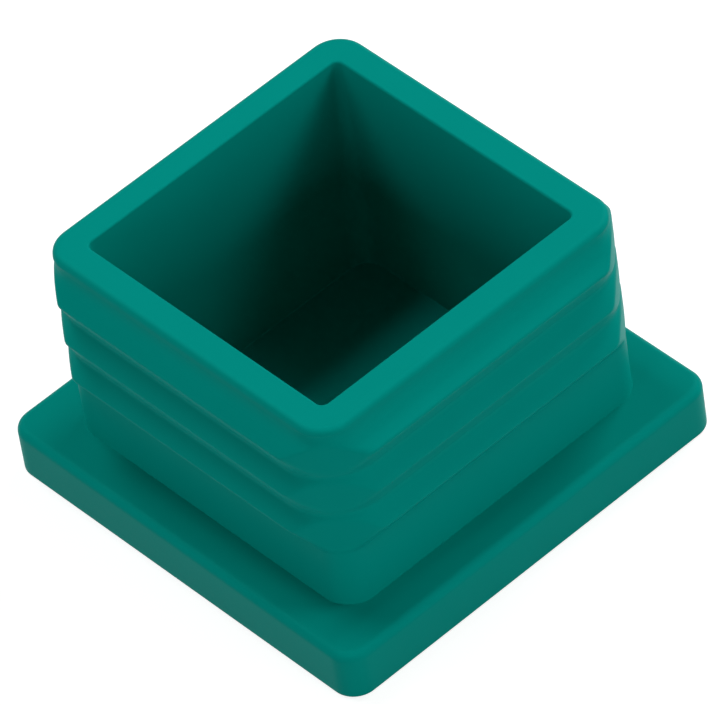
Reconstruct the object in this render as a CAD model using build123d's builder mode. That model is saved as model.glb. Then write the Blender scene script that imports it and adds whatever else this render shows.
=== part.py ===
from build123d import *
from math import atan, degrees, sqrt
import os

# Square tube end cap, moulded in one piece.
#
# A square flange carries a hollow stem with three barbs that grip the inside of a square tube.
# The cap stands on the outer face of its flange, with the open end of the stem upwards.
# The origin is at the centre of that face, and +Z points along the stem.  Sizes are in millimetres.

os.makedirs("parts", exist_ok=True)

# The tube that the cap closes
tube_width = 25.0
tube_wall = 1.5
tube_bore = tube_width - 2 * tube_wall

# Flange: it covers the end of the tube, flush with its sides
flange_width = tube_width
flange_thickness = 2.9
flange_corner_radius = 1.3
flange_edge_radius = 0.45

# Stem: its widths are set from the bore of the tube, by the gap on each side
stem_height = 12.1
stem_gap = 0.83
stem_corner_radius = 1.7
rim_edge_radius = 0.35
stem_width = tube_bore - 2 * stem_gap
rim_level = flange_thickness + stem_height

# Barbs: blunt ridges round the stem, with a longer slope below each crest than above it
barb_count = 3
barb_pitch = 2.58
barb_grip = 0.2
barb_slope = 1.17
top_barb_drop = 1.85
top_barb_slope = 0.85
top_barb_root_radius = 1.3
groove_gap = 0.5
groove_corner_radius = 3.1
groove_root_radius = 0.4
corner_gap = 1.856
barb_width = tube_bore + 2 * barb_grip
barb_under_slope = barb_pitch - barb_slope
groove_width = tube_bore - 2 * groove_gap
barb_height = (barb_width - groove_width) / 2
barb_corner_radius = groove_corner_radius + barb_height
top_barb_level = rim_level - top_barb_drop
slope_angle = degrees(atan(barb_height / barb_slope))
under_slope_angle = degrees(atan(barb_height / barb_under_slope))
corner_diameter = sqrt(2) * tube_bore - 2 * corner_gap

# Cavity: open at the rim, with drafted walls and a shallow round dish in its floor
rim_wall = 1.7
opening_corner_radius = 0.4
opening_edge_radius = 0.12
wall_draft = 0.25
floor_thickness = 1.5
floor_corner_radius = 1.1
dish_diameter = 4.75
dish_slope_width = 0.7
dish_depth = 0.3
opening_width = stem_width - 2 * rim_wall
floor_width = opening_width - 2 * wall_draft
dish_angle = degrees(atan(dish_slope_width / dish_depth))

# Half the band of heights in which an edge counts as lying at a level
tolerance = 0.01


def rounded_square(level, width, corner_radius):
    """A rounded square centred on the Z axis, at a level above the base."""
    with BuildSketch(Plane.XY.offset(level)) as outline:
        RectangleRounded(width, width, corner_radius)
    return outline.sketch


def edges_at(part, level):
    """The edges of a part that lie at one level."""
    return part.edges().filter_by_position(Axis.Z, level - tolerance, level + tolerance)


# The barbed stem
with BuildPart() as stem:
    stem_foot = rounded_square(flange_thickness, stem_width, stem_corner_radius)
    extrude(stem_foot, amount=stem_height)

    # From each groove one slope spreads up to the crest above and one down to the crest below
    barb_levels = [top_barb_level - barb_pitch * n for n in range(barb_count)]
    for level in barb_levels[1:]:
        groove_level = level + barb_slope
        groove = rounded_square(groove_level, groove_width, groove_corner_radius)
        extrude(groove, amount=barb_under_slope, taper=-under_slope_angle)
        extrude(groove, amount=-barb_slope, taper=-slope_angle)
        fillet(edges_at(stem, groove_level), groove_root_radius)

    # The top barb sweeps in to the stem above it, and the lowest one runs in to it below
    top_root_level = top_barb_level + top_barb_slope
    top_crest = rounded_square(top_barb_level, barb_width, barb_corner_radius)
    loft([top_crest, rounded_square(top_root_level, stem_width, stem_corner_radius)])
    fillet(edges_at(stem, top_root_level), top_barb_root_radius)
    lowest_root_level = barb_levels[-1] - barb_under_slope
    lowest_crest = rounded_square(barb_levels[-1], barb_width, barb_corner_radius)
    loft([rounded_square(lowest_root_level, stem_width, stem_corner_radius), lowest_crest])

    # The corners are turned down to one diameter, which trims the barbs there
    with BuildSketch(Plane.XY.offset(flange_thickness)):
        Circle(corner_diameter / 2)
    extrude(amount=stem_height, mode=Mode.INTERSECT)

    fillet(stem.faces().sort_by(Axis.Z)[-1].edges(), rim_edge_radius)


# The end cap
with BuildPart() as end_cap:
    flange = rounded_square(0, flange_width, flange_corner_radius)
    extrude(flange, amount=flange_thickness)
    fillet(end_cap.edges().group_by(Axis.Z)[-1], flange_edge_radius)
    add(stem.part)

    # Cavity, lofted from its floor to its mouth
    cavity_floor = rounded_square(floor_thickness, floor_width, floor_corner_radius)
    cavity_mouth = rounded_square(rim_level, opening_width, opening_corner_radius)
    loft([cavity_floor, cavity_mouth], mode=Mode.SUBTRACT)
    mouth_edges = end_cap.faces().sort_by(Axis.Z)[-1].inner_wires()[0].edges()
    fillet(mouth_edges, opening_edge_radius)

    # Round dish with a sloping side, in the middle of the floor
    with BuildSketch(Plane.XY.offset(floor_thickness)):
        Circle(dish_diameter / 2)
    extrude(amount=-dish_depth, taper=dish_angle, mode=Mode.SUBTRACT)

end_cap.part.label = "end_cap"
export_step(end_cap.part, "parts/end_cap.step")
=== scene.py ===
import math

import bpy
import numpy as np
from bpy.props import FloatProperty, FloatVectorProperty, IntProperty, PointerProperty
from bpy.types import Operator, Panel, PropertyGroup
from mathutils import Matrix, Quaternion, Vector


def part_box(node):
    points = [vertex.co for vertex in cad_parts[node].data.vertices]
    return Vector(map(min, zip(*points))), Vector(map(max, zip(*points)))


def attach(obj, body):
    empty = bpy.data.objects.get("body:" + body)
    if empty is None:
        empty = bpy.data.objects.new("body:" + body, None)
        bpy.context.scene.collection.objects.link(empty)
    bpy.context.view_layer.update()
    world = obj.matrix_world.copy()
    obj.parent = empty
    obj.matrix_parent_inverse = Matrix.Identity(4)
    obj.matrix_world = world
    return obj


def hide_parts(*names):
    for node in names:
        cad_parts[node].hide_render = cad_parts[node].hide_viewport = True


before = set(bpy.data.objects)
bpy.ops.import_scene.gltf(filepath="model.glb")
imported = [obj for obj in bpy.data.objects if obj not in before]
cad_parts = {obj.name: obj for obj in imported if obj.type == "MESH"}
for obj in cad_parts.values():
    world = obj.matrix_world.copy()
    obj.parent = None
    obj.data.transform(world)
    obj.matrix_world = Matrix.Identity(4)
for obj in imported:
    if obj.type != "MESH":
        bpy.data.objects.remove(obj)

bl_info = {
    "name": "Square tube end cap",
    "version": (1, 0, 0),
    "blender": (4, 5, 0),
    "location": "View3D > Sidebar > End Cap",
    "description": "Builds a moulded square tube end cap, its plastic and its studio stage",
    "category": "Add Mesh",
}

MM = 0.001  # a millimetre in metres
NODE = "end_cap"
NODE_LOW, NODE_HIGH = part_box(NODE)
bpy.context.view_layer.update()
QUARTER_TURN = math.pi / 2
WHITE = (1.0, 1.0, 1.0, 1.0)
SENSOR_WIDTH = 36.0  # of the camera, in millimetres


def length(name, description, millimetres):
    """A length property: its default is given in millimetres and kept in metres."""
    return FloatProperty(
        name=name, description=description, default=millimetres * MM,
        unit="LENGTH", subtype="DISTANCE", precision=5,
    )


def share(name, description, default):
    """A property that runs from nothing to full."""
    return FloatProperty(
        name=name, description=description, default=default, min=0.0, max=1.0, subtype="FACTOR",
    )


def angle(name, description, degrees):
    """An angle property: its default is given in degrees and kept in radians."""
    return FloatProperty(
        name=name, description=description, default=math.radians(degrees),
        unit="ROTATION", subtype="ANGLE",
    )


def brightness(name, description, default):
    """A brightness property.  A light of 1 makes a white card that faces it show as white."""
    return FloatProperty(name=name, description=description, default=default, min=0.0)


def colour(name, description, default):
    """A linear colour property."""
    return FloatVectorProperty(
        name=name, description=description, default=default, size=3,
        min=0.0, max=1.0, subtype="COLOR",
    )


class CapShape(PropertyGroup):
    """Sizes of the cap.  The flange's width and the rim's level are those of the solid."""

    flange_width: length("Flange width", "Side of the square flange",
                         (NODE_HIGH.x - NODE_LOW.x) / MM)
    rim_level: length("Rim level", "Height of the rim above the base",
                      (NODE_HIGH.z - NODE_LOW.z) / MM)
    flange_thickness: length("Flange thickness", "Thickness of the flange", 2.9)
    flange_corner: length("Flange corner", "Radius of the flange's upright corners", 1.3)
    flange_edge: length("Flange edge", "Rounding of the flange's upper edge", 0.45)
    foot_edge: length("Foot edge", "Rounding of the flange's lower edge", 0.06)
    stem_width: length("Stem width", "Width of the stem above and below its barbs", 20.34)
    stem_corner: length("Stem corner", "Radius of the stem's corners", 1.7)
    stem_root: length("Stem root", "Rounding where the stem meets the flange", 0.012)
    barb_count: IntProperty(name="Barbs", description="How many barbs the stem has",
                            default=3, min=1, max=4)
    barb_pitch: length("Barb pitch", "Distance from one crest to the next", 2.58)
    barb_width: length("Barb width", "Width of the stem over the crests", 22.4)
    barb_slope: length("Barb slope", "Height of the slope above a crest", 1.17)
    barb_edge: length("Barb edge", "Rounding of a crest", 0.2)
    groove_width: length("Groove width", "Width of the stem where two slopes meet", 21.0)
    groove_corner: length("Groove corner", "Radius of the grooves' corners", 3.1)
    groove_root: length("Groove root", "Rounding at the bottom of a groove", 0.4)
    top_barb_drop: length("Top barb drop", "Height of the rim above the top crest", 1.85)
    top_barb_slope: length("Top barb slope", "Height of the slope above the top crest", 0.85)
    top_barb_root: length("Top barb root", "Rounding at the top of that slope", 1.3)
    trim_diameter: length("Trim diameter", "Diameter that the barbs' corners are cut to", 27.4)
    trim_edge: length("Trim edge", "Rounding of the edge that the cut leaves", 0.1)
    neck_corner: length("Neck corner", "Radius of the corners between top barb and rim", 2.0)
    rim_edge: length("Rim edge", "Rounding of the rim's outer edge", 0.35)
    opening_width: length("Opening width", "Width of the cavity at the rim", 16.94)
    opening_corner: length("Opening corner", "Radius of the cavity's corners at the rim", 0.4)
    opening_edge: length("Opening edge", "Rounding of the rim's inner edge", 0.12)
    floor_level: length("Floor level", "Height of the cavity's floor", 1.5)
    floor_width: length("Floor width", "Width of the cavity at its floor", 16.44)
    floor_corner: length("Floor corner", "Radius of the cavity's corners at its floor", 1.1)
    floor_root: length("Floor root", "Rounding where the walls meet the floor", 0.05)
    dish_diameter: length("Dish diameter", "Diameter of the round dish in the floor", 4.75)
    dish_slope: length("Dish slope", "Width of the dish's sloping side", 0.7)
    dish_depth: length("Dish depth", "Depth of the dish", 0.3)
    dish_edge: length("Dish edge", "Rounding of the dish's edges", 0.08)


class CapMesh(PropertyGroup):
    """How finely the surface is divided."""

    sector_steps: IntProperty(name="Sector steps", description="Steps in half a quarter turn",
                              default=40, min=8, max=96)
    corner_gather: FloatProperty(name="Corner gather",
                                 description="How closely the steps gather at the corners",
                                 default=2.5, min=0.1, max=5.0)
    edge_steps: IntProperty(name="Edge steps", description="Steps round each rounded edge",
                            default=6, min=2, max=16)
    edge_guard: length("Edge guard", "Width of the narrow band beside each rounded edge", 0.03)
    fine_step: length("Fine step", "Longest step on the barbs", 0.13)
    coarse_step: length("Coarse step", "Longest step elsewhere", 0.8)


class CapFinish(PropertyGroup):
    """Colours and surface of the moulded plastic."""

    body_colour: colour("Body colour", "Colour of the plastic", (0.0, 0.265, 0.225))
    deep_colour: colour("Deep colour", "Colour of its faint darker clouds", (0.0, 0.25, 0.21))
    roughness: share("Roughness", "Middle roughness of the skin", 0.45)
    roughness_spread: share("Roughness spread", "How far the roughness wanders", 0.08)
    gloss: share("Gloss", "Specular level of the plastic", 0.03)
    gloss_colour: colour("Gloss colour", "Tint of its reflections", (0.0, 0.8, 0.7))
    cloud_size: length("Cloud size", "Size of the faint clouds of colour", 4.0)
    grain_size: length("Grain size", "Size of the fine grain of the skin", 0.12)
    grain_height: length("Grain height", "Height of the fine grain of the skin", 0.002)


class StageSettings(PropertyGroup):
    """Camera, floor and lamps.  Azimuths are from -Y toward +X."""

    azimuth: angle("Azimuth", "Camera's turn round the cap", 53.2145)
    elevation: angle("Elevation", "Camera's height above the horizon", 45.1148)
    roll: angle("Roll", "Camera's turn about its own axis", -9.3542)
    distance: length("Distance", "From the camera to its target", 425.617)
    target: FloatVectorProperty(name="Target", description="Point that the camera looks at",
                                default=(0.57519 * MM, -0.19932 * MM, 6.92231 * MM),
                                size=3, unit="LENGTH", subtype="XYZ", precision=6)
    focal_length: FloatProperty(name="Focal length", description="Focal length of the lens",
                                default=439.761, unit="CAMERA")
    floor_size: length("Floor size", "Side of the floor", 500.0)
    floor_gap: length("Floor gap", "How far the floor lies below the base", 0.02)
    floor_colour: colour("Floor colour", "Colour of the floor", (0.4, 0.4, 0.4))
    floor_glow: brightness("Floor glow", "White that the floor shows on top of its colour", 0.8)
    fill_light: brightness("Fill light", "Even light from all round", 0.02)
    lamp_distance: length("Lamp distance", "From the cap to each softbox", 450.0)
    high_lamp_size: length("High lamp size", "Side of the high softboxes", 180.0)
    low_lamp_size: length("Low lamp size", "Side of the low softboxes", 220.0)
    back_left_light: brightness("Back left light", "High softbox behind, at the left", 0.45)
    back_right_light: brightness("Back right light", "High softbox behind, at the right", 0.41)
    right_light: brightness("Right light", "High softbox at the right", 0.25)
    front_left_light: brightness("Front left light", "Low softbox in front, at the left", 0.35)
    front_right_light: brightness("Front right light", "Low softbox in front, at the right", 0.38)


# --- the surface ---------------------------------------------------------------------------

# Columns of a profile.  Its stations have all five, and its rows all but the rounding
HALF_WIDTH, LEVEL, CORNER_CENTRE, TRIM, ROUNDING = range(5)
PLACE = [HALF_WIDTH, LEVEL]
NO_TRIM = 1.0  # a trim radius, in metres, that reaches past every ring
GUARD_ROOM = 3  # steps of a profile that are longer than this many guard bands get them


def ring_angles(steps, gather):
    """Angles of the points of a ring, the same for all rings.

    In each quarter turn the offset from the corner is 45 degrees times sinh(k u) / sinh(k),
    with k the gather and u even from -1 to 1, so the points gather at the corners.
    """
    even = np.linspace(-1.0, 1.0, 2 * steps, endpoint=False)
    offset = QUARTER_TURN / 2 * np.sinh(gather * even) / math.sinh(gather)
    corners = QUARTER_TURN / 2 + QUARTER_TURN * np.arange(4)
    return (corners[:, None] + offset[None, :]).ravel()


def rounded_square_reach(angles, half_width, centre):
    """Distance from the axis to a rounded square, for each ring and each angle.

    centre is how far the middle of a corner's circle lies from the axis, both ways, so its
    radius is half_width - centre.  With a the larger and b the smaller of |cos| and |sin|, a
    side is half_width / a away.  Where that passes the circle's middle, the reach is the far
    one of the two places where the ray meets the circle, centre (a + b) +
    sqrt(centre^2 (a + b)^2 - 2 centre^2 + radius^2).
    """
    cosine = np.abs(np.cos(angles))
    sine = np.abs(np.sin(angles))
    along = np.maximum(cosine, sine)[None, :]
    across = np.minimum(cosine, sine)[None, :]
    half_width = half_width[:, None]
    centre = centre[:, None]
    side = half_width / along
    toward = centre * (along + across)
    inside = toward**2 - 2 * centre**2 + (half_width - centre) ** 2
    corner = toward + np.sqrt(np.maximum(inside, 0.0))
    return np.where(side * across > centre, corner, side)


def soft_minimum(a, b, width):
    """The smaller of a and b, with a parabola of the given width where they cross.

    It is min(a, b) - (width - |a - b|)^2 / (4 width) where they differ by less than width.
    """
    overlap = np.maximum(width - np.abs(a - b), 0.0) / width
    return np.minimum(a, b) - overlap**2 * width / 4


def round_corners(stations, steps):
    """The rows of a profile, with an arc in place of each inner station.

    With m the unit vector halfway between the two sides, q the one across it and h half the
    angle between the sides, the arc is corner + rounding (m / sin h - m cos t + q sin t), for
    t even from h - 90 to 90 - h degrees.
    """
    points = stations[:, PLACE]
    back = points[:-2] - points[1:-1]
    ahead = points[2:] - points[1:-1]
    back /= np.linalg.norm(back, axis=1, keepdims=True)
    ahead /= np.linalg.norm(ahead, axis=1, keepdims=True)
    half = np.arccos(np.clip((back * ahead).sum(1), -1.0, 1.0)) / 2
    middle = (back + ahead) / np.linalg.norm(back + ahead, axis=1, keepdims=True)
    across = (ahead - back) / np.linalg.norm(ahead - back, axis=1, keepdims=True)
    turn = (QUARTER_TURN - half)[:, None] * np.linspace(-1.0, 1.0, steps + 1)[None, :]
    arc = (
        across[:, None, :] * np.sin(turn)[:, :, None]
        - middle[:, None, :] * np.cos(turn)[:, :, None]
        + middle[:, None, :] / np.sin(half)[:, None, None]
    )
    places = points[1:-1, None, :] + arc * stations[1:-1, ROUNDING, None, None]
    rest = np.repeat(stations[1:-1, None, CORNER_CENTRE:ROUNDING], steps + 1, axis=1)
    rows = np.concatenate([places, rest], axis=2).reshape(-1, ROUNDING)
    return np.concatenate([stations[:1, :ROUNDING], rows, stations[-1:, :ROUNDING]])


def divide_profile(rows, mesh):
    """Adds rows to a profile, on the straight steps between its own.

    A long step gets a narrow guard band at each end, which keeps the shading of the wide
    faces flat.  Each step is also divided evenly, into pieces no longer than the fine step on
    the barbs, whose rows have a trim radius, and than the coarse step elsewhere.
    """
    steps = np.linalg.norm(np.diff(rows[:, PLACE], axis=0), axis=1)
    travel = np.concatenate([[0.0], np.cumsum(steps)])
    roomy = steps > GUARD_ROOM * mesh.edge_guard
    guards = np.concatenate([travel[:-1][roomy] + mesh.edge_guard,
                             travel[1:][roomy] - mesh.edge_guard])
    trimmed = np.minimum(rows[:-1, TRIM], rows[1:, TRIM]) < NO_TRIM
    longest = np.where(trimmed, mesh.fine_step, mesh.coarse_step)
    pieces = np.maximum(np.ceil(steps / longest), 1).astype(int)
    first = np.repeat(travel[:-1], pieces)
    size = np.repeat(steps / pieces, pieces)
    count = np.arange(pieces.sum()) - np.repeat(np.cumsum(pieces) - pieces, pieces)
    stops = np.unique(np.concatenate([first + size * count, travel[-1:], guards]))
    return np.stack([np.interp(stops, travel, column) for column in rows.T], axis=1)


def cap_profile(shape):
    """Stations of the cap's profile, which are its corners with their roundings.

    They go from the middle of the base up round the outside, over the rim and down through
    the cavity to the middle of the dish.
    """
    flange = shape.flange_width / 2
    stem = shape.stem_width / 2
    barb = shape.barb_width / 2
    groove = shape.groove_width / 2
    opening = shape.opening_width / 2
    floor = shape.floor_width / 2
    dish = shape.dish_diameter / 2
    top = shape.rim_level
    ledge = shape.flange_thickness
    trim = shape.trim_diameter / 2
    flange_centre = flange - shape.flange_corner
    stem_centre = stem - shape.stem_corner
    neck_centre = stem - shape.neck_corner
    barb_centre = groove - shape.groove_corner
    bowl = shape.floor_level - shape.dish_depth
    pitch = shape.barb_pitch
    slope = shape.barb_slope
    top_crest = top - shape.top_barb_drop
    crests = [top_crest - pitch * number for number in reversed(range(shape.barb_count))]

    stations = [
        (0.0, 0.0, 0.0, NO_TRIM, 0.0),
        (flange, 0.0, flange_centre, NO_TRIM, shape.foot_edge),
        (flange, ledge, flange_centre, NO_TRIM, shape.flange_edge),
        (stem, ledge, stem_centre, NO_TRIM, shape.stem_root),
        (stem, crests[0] + slope - pitch, stem_centre, trim, shape.groove_root),
    ]
    for crest in crests:
        stations.append((barb, crest, barb_centre, trim, shape.barb_edge))
        stations.append((groove, crest + slope, barb_centre, trim, shape.groove_root))
    # Above the top crest the slope ends at the neck and not in a groove
    neck_level = top_crest + shape.top_barb_slope
    stations[-1] = (stem, neck_level, neck_centre, trim, shape.top_barb_root)
    stations += [
        (stem, top, stem_centre, trim, shape.rim_edge),
        (opening, top, opening - shape.opening_corner, NO_TRIM, shape.opening_edge),
        (floor, shape.floor_level, floor - shape.floor_corner, NO_TRIM, shape.floor_root),
        (dish, shape.floor_level, 0.0, NO_TRIM, shape.dish_edge),
        (dish - shape.dish_slope, bowl, 0.0, NO_TRIM, shape.dish_edge),
        (0.0, bowl, 0.0, NO_TRIM, 0.0),
    ]
    return np.array(stations)


def cap_surface(shape, mesh):
    """Vertices and faces of the closed surface that the rings of the profile make.

    Point j of ring i is at (reach cos, reach sin, level), with the cosine and sine of angle j,
    the level of row i, and the reach of its rounded square, cut to its trim radius.  The first
    and last rows are single points, which fans of triangles join to the rings.
    """
    rows = divide_profile(round_corners(cap_profile(shape), mesh.edge_steps), mesh)
    angles = ring_angles(mesh.sector_steps, mesh.corner_gather)
    rings = rows[1:-1]
    reach = rounded_square_reach(angles, rings[:, HALF_WIDTH], rings[:, CORNER_CENTRE])
    reach = soft_minimum(reach, rings[:, TRIM, None], shape.trim_edge)
    level = np.broadcast_to(rings[:, LEVEL, None], reach.shape)
    grid = np.stack([reach * np.cos(angles), reach * np.sin(angles), level], axis=2)
    ends = np.array([[0.0, 0.0, rows[0, LEVEL]], [0.0, 0.0, rows[-1, LEVEL]]])
    vertices = np.concatenate([grid.reshape(-1, 3), ends])

    count = len(angles)
    here = np.arange(count)
    following = np.roll(here, -1)
    start = (np.arange(len(rings) - 1) * count)[:, None]
    quads = np.stack(
        [start + here, start + following, start + count + following, start + count + here],
        axis=2,
    ).reshape(-1, 4)
    last_ring = (len(rings) - 1) * count
    base_point = len(rings) * count
    dish_point = base_point + 1
    base_fan = np.stack([np.full(count, base_point), following, here], axis=1)
    dish_fan = np.stack(
        [last_ring + here, last_ring + following, np.full(count, dish_point)], axis=1,
    )
    return vertices, quads.tolist() + base_fan.tolist() + dish_fan.tolist()


def new_piece(name, vertices, faces, material):
    """A smooth mesh object at the origin, with one material."""
    mesh = bpy.data.meshes.new(name)
    mesh.from_pydata(vertices.tolist(), [], faces)
    mesh.polygons.foreach_set("use_smooth", np.ones(len(mesh.polygons), dtype=bool))
    mesh.materials.append(material)
    mesh.update()
    piece = bpy.data.objects.new(name, mesh)
    bpy.context.scene.collection.objects.link(piece)
    return piece


# --- materials -----------------------------------------------------------------------------

# How many finer layers the noise has
CLOUD_DETAIL = 3.0
GRAIN_DETAIL = 2.0


def new_material(name):
    """An empty node material, its tree and its Principled shader, wired to the output."""
    material = bpy.data.materials.new(name)
    material.use_nodes = True
    tree = material.node_tree
    tree.nodes.clear()
    output = tree.nodes.new("ShaderNodeOutputMaterial")
    shader = tree.nodes.new("ShaderNodeBsdfPrincipled")
    tree.links.new(shader.outputs["BSDF"], output.inputs["Surface"])
    return material, tree, shader


def noise(tree, size, detail):
    """A noise texture on Object coordinates, whose features are about size across."""
    place = tree.nodes.new("ShaderNodeTexCoord")
    texture = tree.nodes.new("ShaderNodeTexNoise")
    texture.inputs["Scale"].default_value = 1.0 / size
    texture.inputs["Detail"].default_value = detail
    tree.links.new(place.outputs["Object"], texture.inputs["Vector"])
    return texture.outputs["Fac"]


def plastic_material(finish):
    """Satin moulded plastic: faint clouds of colour, a wandering roughness and a fine grain."""
    material, tree, shader = new_material("teal_plastic")
    clouds = noise(tree, finish.cloud_size, CLOUD_DETAIL)
    grain = noise(tree, finish.grain_size, GRAIN_DETAIL)

    colours = tree.nodes.new("ShaderNodeMix")
    colours.data_type = "RGBA"
    colours.inputs["A"].default_value = (*finish.deep_colour, 1.0)
    colours.inputs["B"].default_value = (*finish.body_colour, 1.0)
    tree.links.new(clouds, colours.inputs["Factor"])
    tree.links.new(colours.outputs["Result"], shader.inputs["Base Color"])

    wander = tree.nodes.new("ShaderNodeMapRange")
    wander.inputs["To Min"].default_value = finish.roughness - finish.roughness_spread
    wander.inputs["To Max"].default_value = finish.roughness + finish.roughness_spread
    tree.links.new(grain, wander.inputs["Value"])
    tree.links.new(wander.outputs["Result"], shader.inputs["Roughness"])

    bump = tree.nodes.new("ShaderNodeBump")
    bump.inputs["Distance"].default_value = finish.grain_height
    tree.links.new(grain, bump.inputs["Height"])
    tree.links.new(bump.outputs["Normal"], shader.inputs["Normal"])

    shader.inputs["Specular IOR Level"].default_value = finish.gloss
    shader.inputs["Specular Tint"].default_value = (*finish.gloss_colour, 1.0)
    return material


def seen_mask(tree):
    """1 on the rays that show the background, and 0 on those that light the cap.

    The first kind comes from the camera, off a glossy surface or through a clear one.
    """
    path = tree.nodes.new("ShaderNodeLightPath")
    gloss = tree.nodes.new("ShaderNodeMath")
    gloss.operation = "MAXIMUM"
    tree.links.new(path.outputs["Is Camera Ray"], gloss.inputs[0])
    tree.links.new(path.outputs["Is Glossy Ray"], gloss.inputs[1])
    seen = tree.nodes.new("ShaderNodeMath")
    seen.operation = "MAXIMUM"
    tree.links.new(gloss.outputs["Value"], seen.inputs[0])
    tree.links.new(path.outputs["Is Transmission Ray"], seen.inputs[1])
    return seen.outputs["Value"]


def floor_material(stage):
    """Plain pale floor: its glow makes it show as white, and it keeps the cap's shadow."""
    material, tree, shader = new_material("pale_floor")
    shader.inputs["Base Color"].default_value = (*stage.floor_colour, 1.0)
    shader.inputs["Roughness"].default_value = 1.0
    shader.inputs["Specular IOR Level"].default_value = 0.0
    glow = tree.nodes.new("ShaderNodeMath")
    glow.operation = "MULTIPLY"
    glow.inputs[1].default_value = stage.floor_glow
    tree.links.new(seen_mask(tree), glow.inputs[0])
    shader.inputs["Emission Color"].default_value = WHITE
    tree.links.new(glow.outputs["Value"], shader.inputs["Emission Strength"])
    return material


# --- the stage -----------------------------------------------------------------------------

# Each softbox: the settings that hold its brightness and its size, its turn round the cap from
# the camera toward the right, and its height above the horizon, both in degrees
LAMPS = (
    ("back_left_light", "high_lamp_size", 225.0, 60.0),
    ("back_right_light", "high_lamp_size", 135.0, 45.0),
    ("right_light", "high_lamp_size", 90.0, 40.0),
    ("front_left_light", "low_lamp_size", 310.0, 12.0),
    ("front_right_light", "low_lamp_size", 47.0, 10.0),
)


def direction(azimuth, elevation):
    """Unit vector away from the cap, from an azimuth and an elevation in radians.

    It is (sin azimuth cos elevation, -cos azimuth cos elevation, sin elevation), so an
    azimuth of 0 is toward -Y, and it turns toward +X.
    """
    return Vector((
        math.sin(azimuth) * math.cos(elevation),
        -math.cos(azimuth) * math.cos(elevation),
        math.sin(elevation),
    ))


# --- operators -----------------------------------------------------------------------------


class ENDCAP_OT_build_cap(Operator):
    """Builds the end cap as one closed surface and gives it its plastic"""

    bl_idname = "endcap.build_cap"
    bl_label = "Build end cap"

    def execute(self, context):
        scene = context.scene
        vertices, faces = cap_surface(scene.cap_shape, scene.cap_mesh)
        cap = new_piece("end_cap_moulding", vertices, faces, plastic_material(scene.cap_finish))
        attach(cap, "root")
        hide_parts(NODE)
        return {"FINISHED"}


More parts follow.
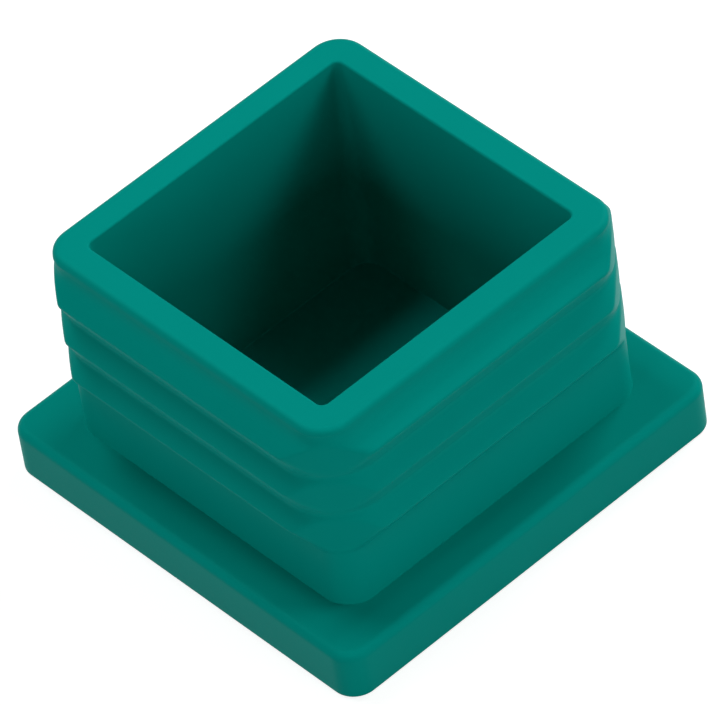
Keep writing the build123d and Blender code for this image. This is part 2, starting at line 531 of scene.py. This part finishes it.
class ENDCAP_OT_build_stage(Operator):
    """Builds the floor, the lamps, the background and the camera"""

    bl_idname = "endcap.build_stage"
    bl_label = "Build stage"

    def execute(self, context):
        stage = context.scene.cap_stage
        self.add_floor(stage)
        self.add_lamps(context.scene, stage)
        self.add_world(context.scene, stage)
        self.add_camera(context.scene, stage)
        context.scene.view_settings.view_transform = "Standard"
        return {"FINISHED"}

    def add_floor(self, stage):
        """One large square just below the base."""
        half = stage.floor_size / 2
        corners = np.array([[-1, -1], [1, -1], [1, 1], [-1, 1]]) * half
        level = NODE_LOW.z - stage.floor_gap
        vertices = np.column_stack([corners, np.full(len(corners), level)])
        floor = new_piece("floor", vertices, [[0, 1, 2, 3]], floor_material(stage))

    def add_lamps(self, scene, stage):
        """Five square softboxes, aimed at the camera's target.

        A white card shows as white in a light of pi W/m2.  A lamp of power P gives
        P / (pi distance^2) straight ahead of it, so a brightness of 1 takes
        (pi distance)^2 watts.
        """
        for name, size, turn, height in LAMPS:
            back = direction(stage.azimuth + math.radians(turn), math.radians(height))
            data = bpy.data.lights.new(name, "AREA")
            data.shape = "SQUARE"
            data.size = getattr(stage, size)
            data.energy = getattr(stage, name) * (math.pi * stage.lamp_distance) ** 2
            lamp = bpy.data.objects.new(name, data)
            lamp.location = Vector(stage.target) + back * stage.lamp_distance
            lamp.rotation_mode = "QUATERNION"
            lamp.rotation_quaternion = (-back).to_track_quat("-Z", "Y")
            scene.collection.objects.link(lamp)

    def add_world(self, scene, stage):
        """A white background, and a weak even light on the cap."""
        world = bpy.data.worlds.new("studio")
        world.use_nodes = True
        scene.world = world
        tree = world.node_tree
        tree.nodes.clear()
        output = tree.nodes.new("ShaderNodeOutputWorld")
        background = tree.nodes.new("ShaderNodeBackground")
        background.inputs["Color"].default_value = WHITE
        strength = tree.nodes.new("ShaderNodeMapRange")
        strength.inputs["To Min"].default_value = stage.fill_light
        strength.inputs["To Max"].default_value = 1.0
        tree.links.new(seen_mask(tree), strength.inputs["Value"])
        tree.links.new(strength.outputs["Result"], background.inputs["Strength"])
        tree.links.new(background.outputs["Background"], output.inputs["Surface"])

    def add_camera(self, scene, stage):
        """A long lens, aimed by azimuth, elevation and roll."""
        data = bpy.data.cameras.new("camera")
        data.lens = stage.focal_length
        data.sensor_width = SENSOR_WIDTH
        back = direction(stage.azimuth, stage.elevation)
        camera = bpy.data.objects.new("camera", data)
        camera.location = Vector(stage.target) + back * stage.distance
        camera.rotation_mode = "QUATERNION"
        aim = (-back).to_track_quat("-Z", "Y")
        camera.rotation_quaternion = aim @ Quaternion((0.0, 0.0, 1.0), stage.roll)
        scene.collection.objects.link(camera)
        scene.camera = camera


class ENDCAP_PT_panel(Panel):
    """Lists the builders and their settings in the sidebar"""

    bl_idname = "ENDCAP_PT_panel"
    bl_label = "End Cap"
    bl_space_type = "VIEW_3D"
    bl_region_type = "UI"
    bl_category = "End Cap"

    def draw(self, context):
        for operator in OPERATORS:
            self.layout.operator(operator.bl_idname)
        for name in SETTINGS:
            settings = getattr(context.scene, name)
            box = self.layout.box()
            for setting in settings.__annotations__:
                box.prop(settings, setting)


OPERATORS = (ENDCAP_OT_build_cap, ENDCAP_OT_build_stage)
SETTINGS = {
    "cap_shape": CapShape,
    "cap_mesh": CapMesh,
    "cap_finish": CapFinish,
    "cap_stage": StageSettings,
}


def register():
    """Adds the settings, the operators and the panel to Blender."""
    for group in SETTINGS.values():
        bpy.utils.register_class(group)
    for name, group in SETTINGS.items():
        setattr(bpy.types.Scene, name, PointerProperty(type=group))
    for operator in OPERATORS:
        bpy.utils.register_class(operator)
    bpy.utils.register_class(ENDCAP_PT_panel)


def unregister():
    """Takes the panel, the operators and the settings out again."""
    bpy.utils.unregister_class(ENDCAP_PT_panel)
    for operator in reversed(OPERATORS):
        bpy.utils.unregister_class(operator)
    for name in SETTINGS:
        delattr(bpy.types.Scene, name)
    for group in reversed(SETTINGS.values()):
        bpy.utils.unregister_class(group)


def main():
    """Builds everything."""
    register()
    bpy.ops.endcap.build_cap()
    bpy.ops.endcap.build_stage()


if __name__ == "__main__":
    main()
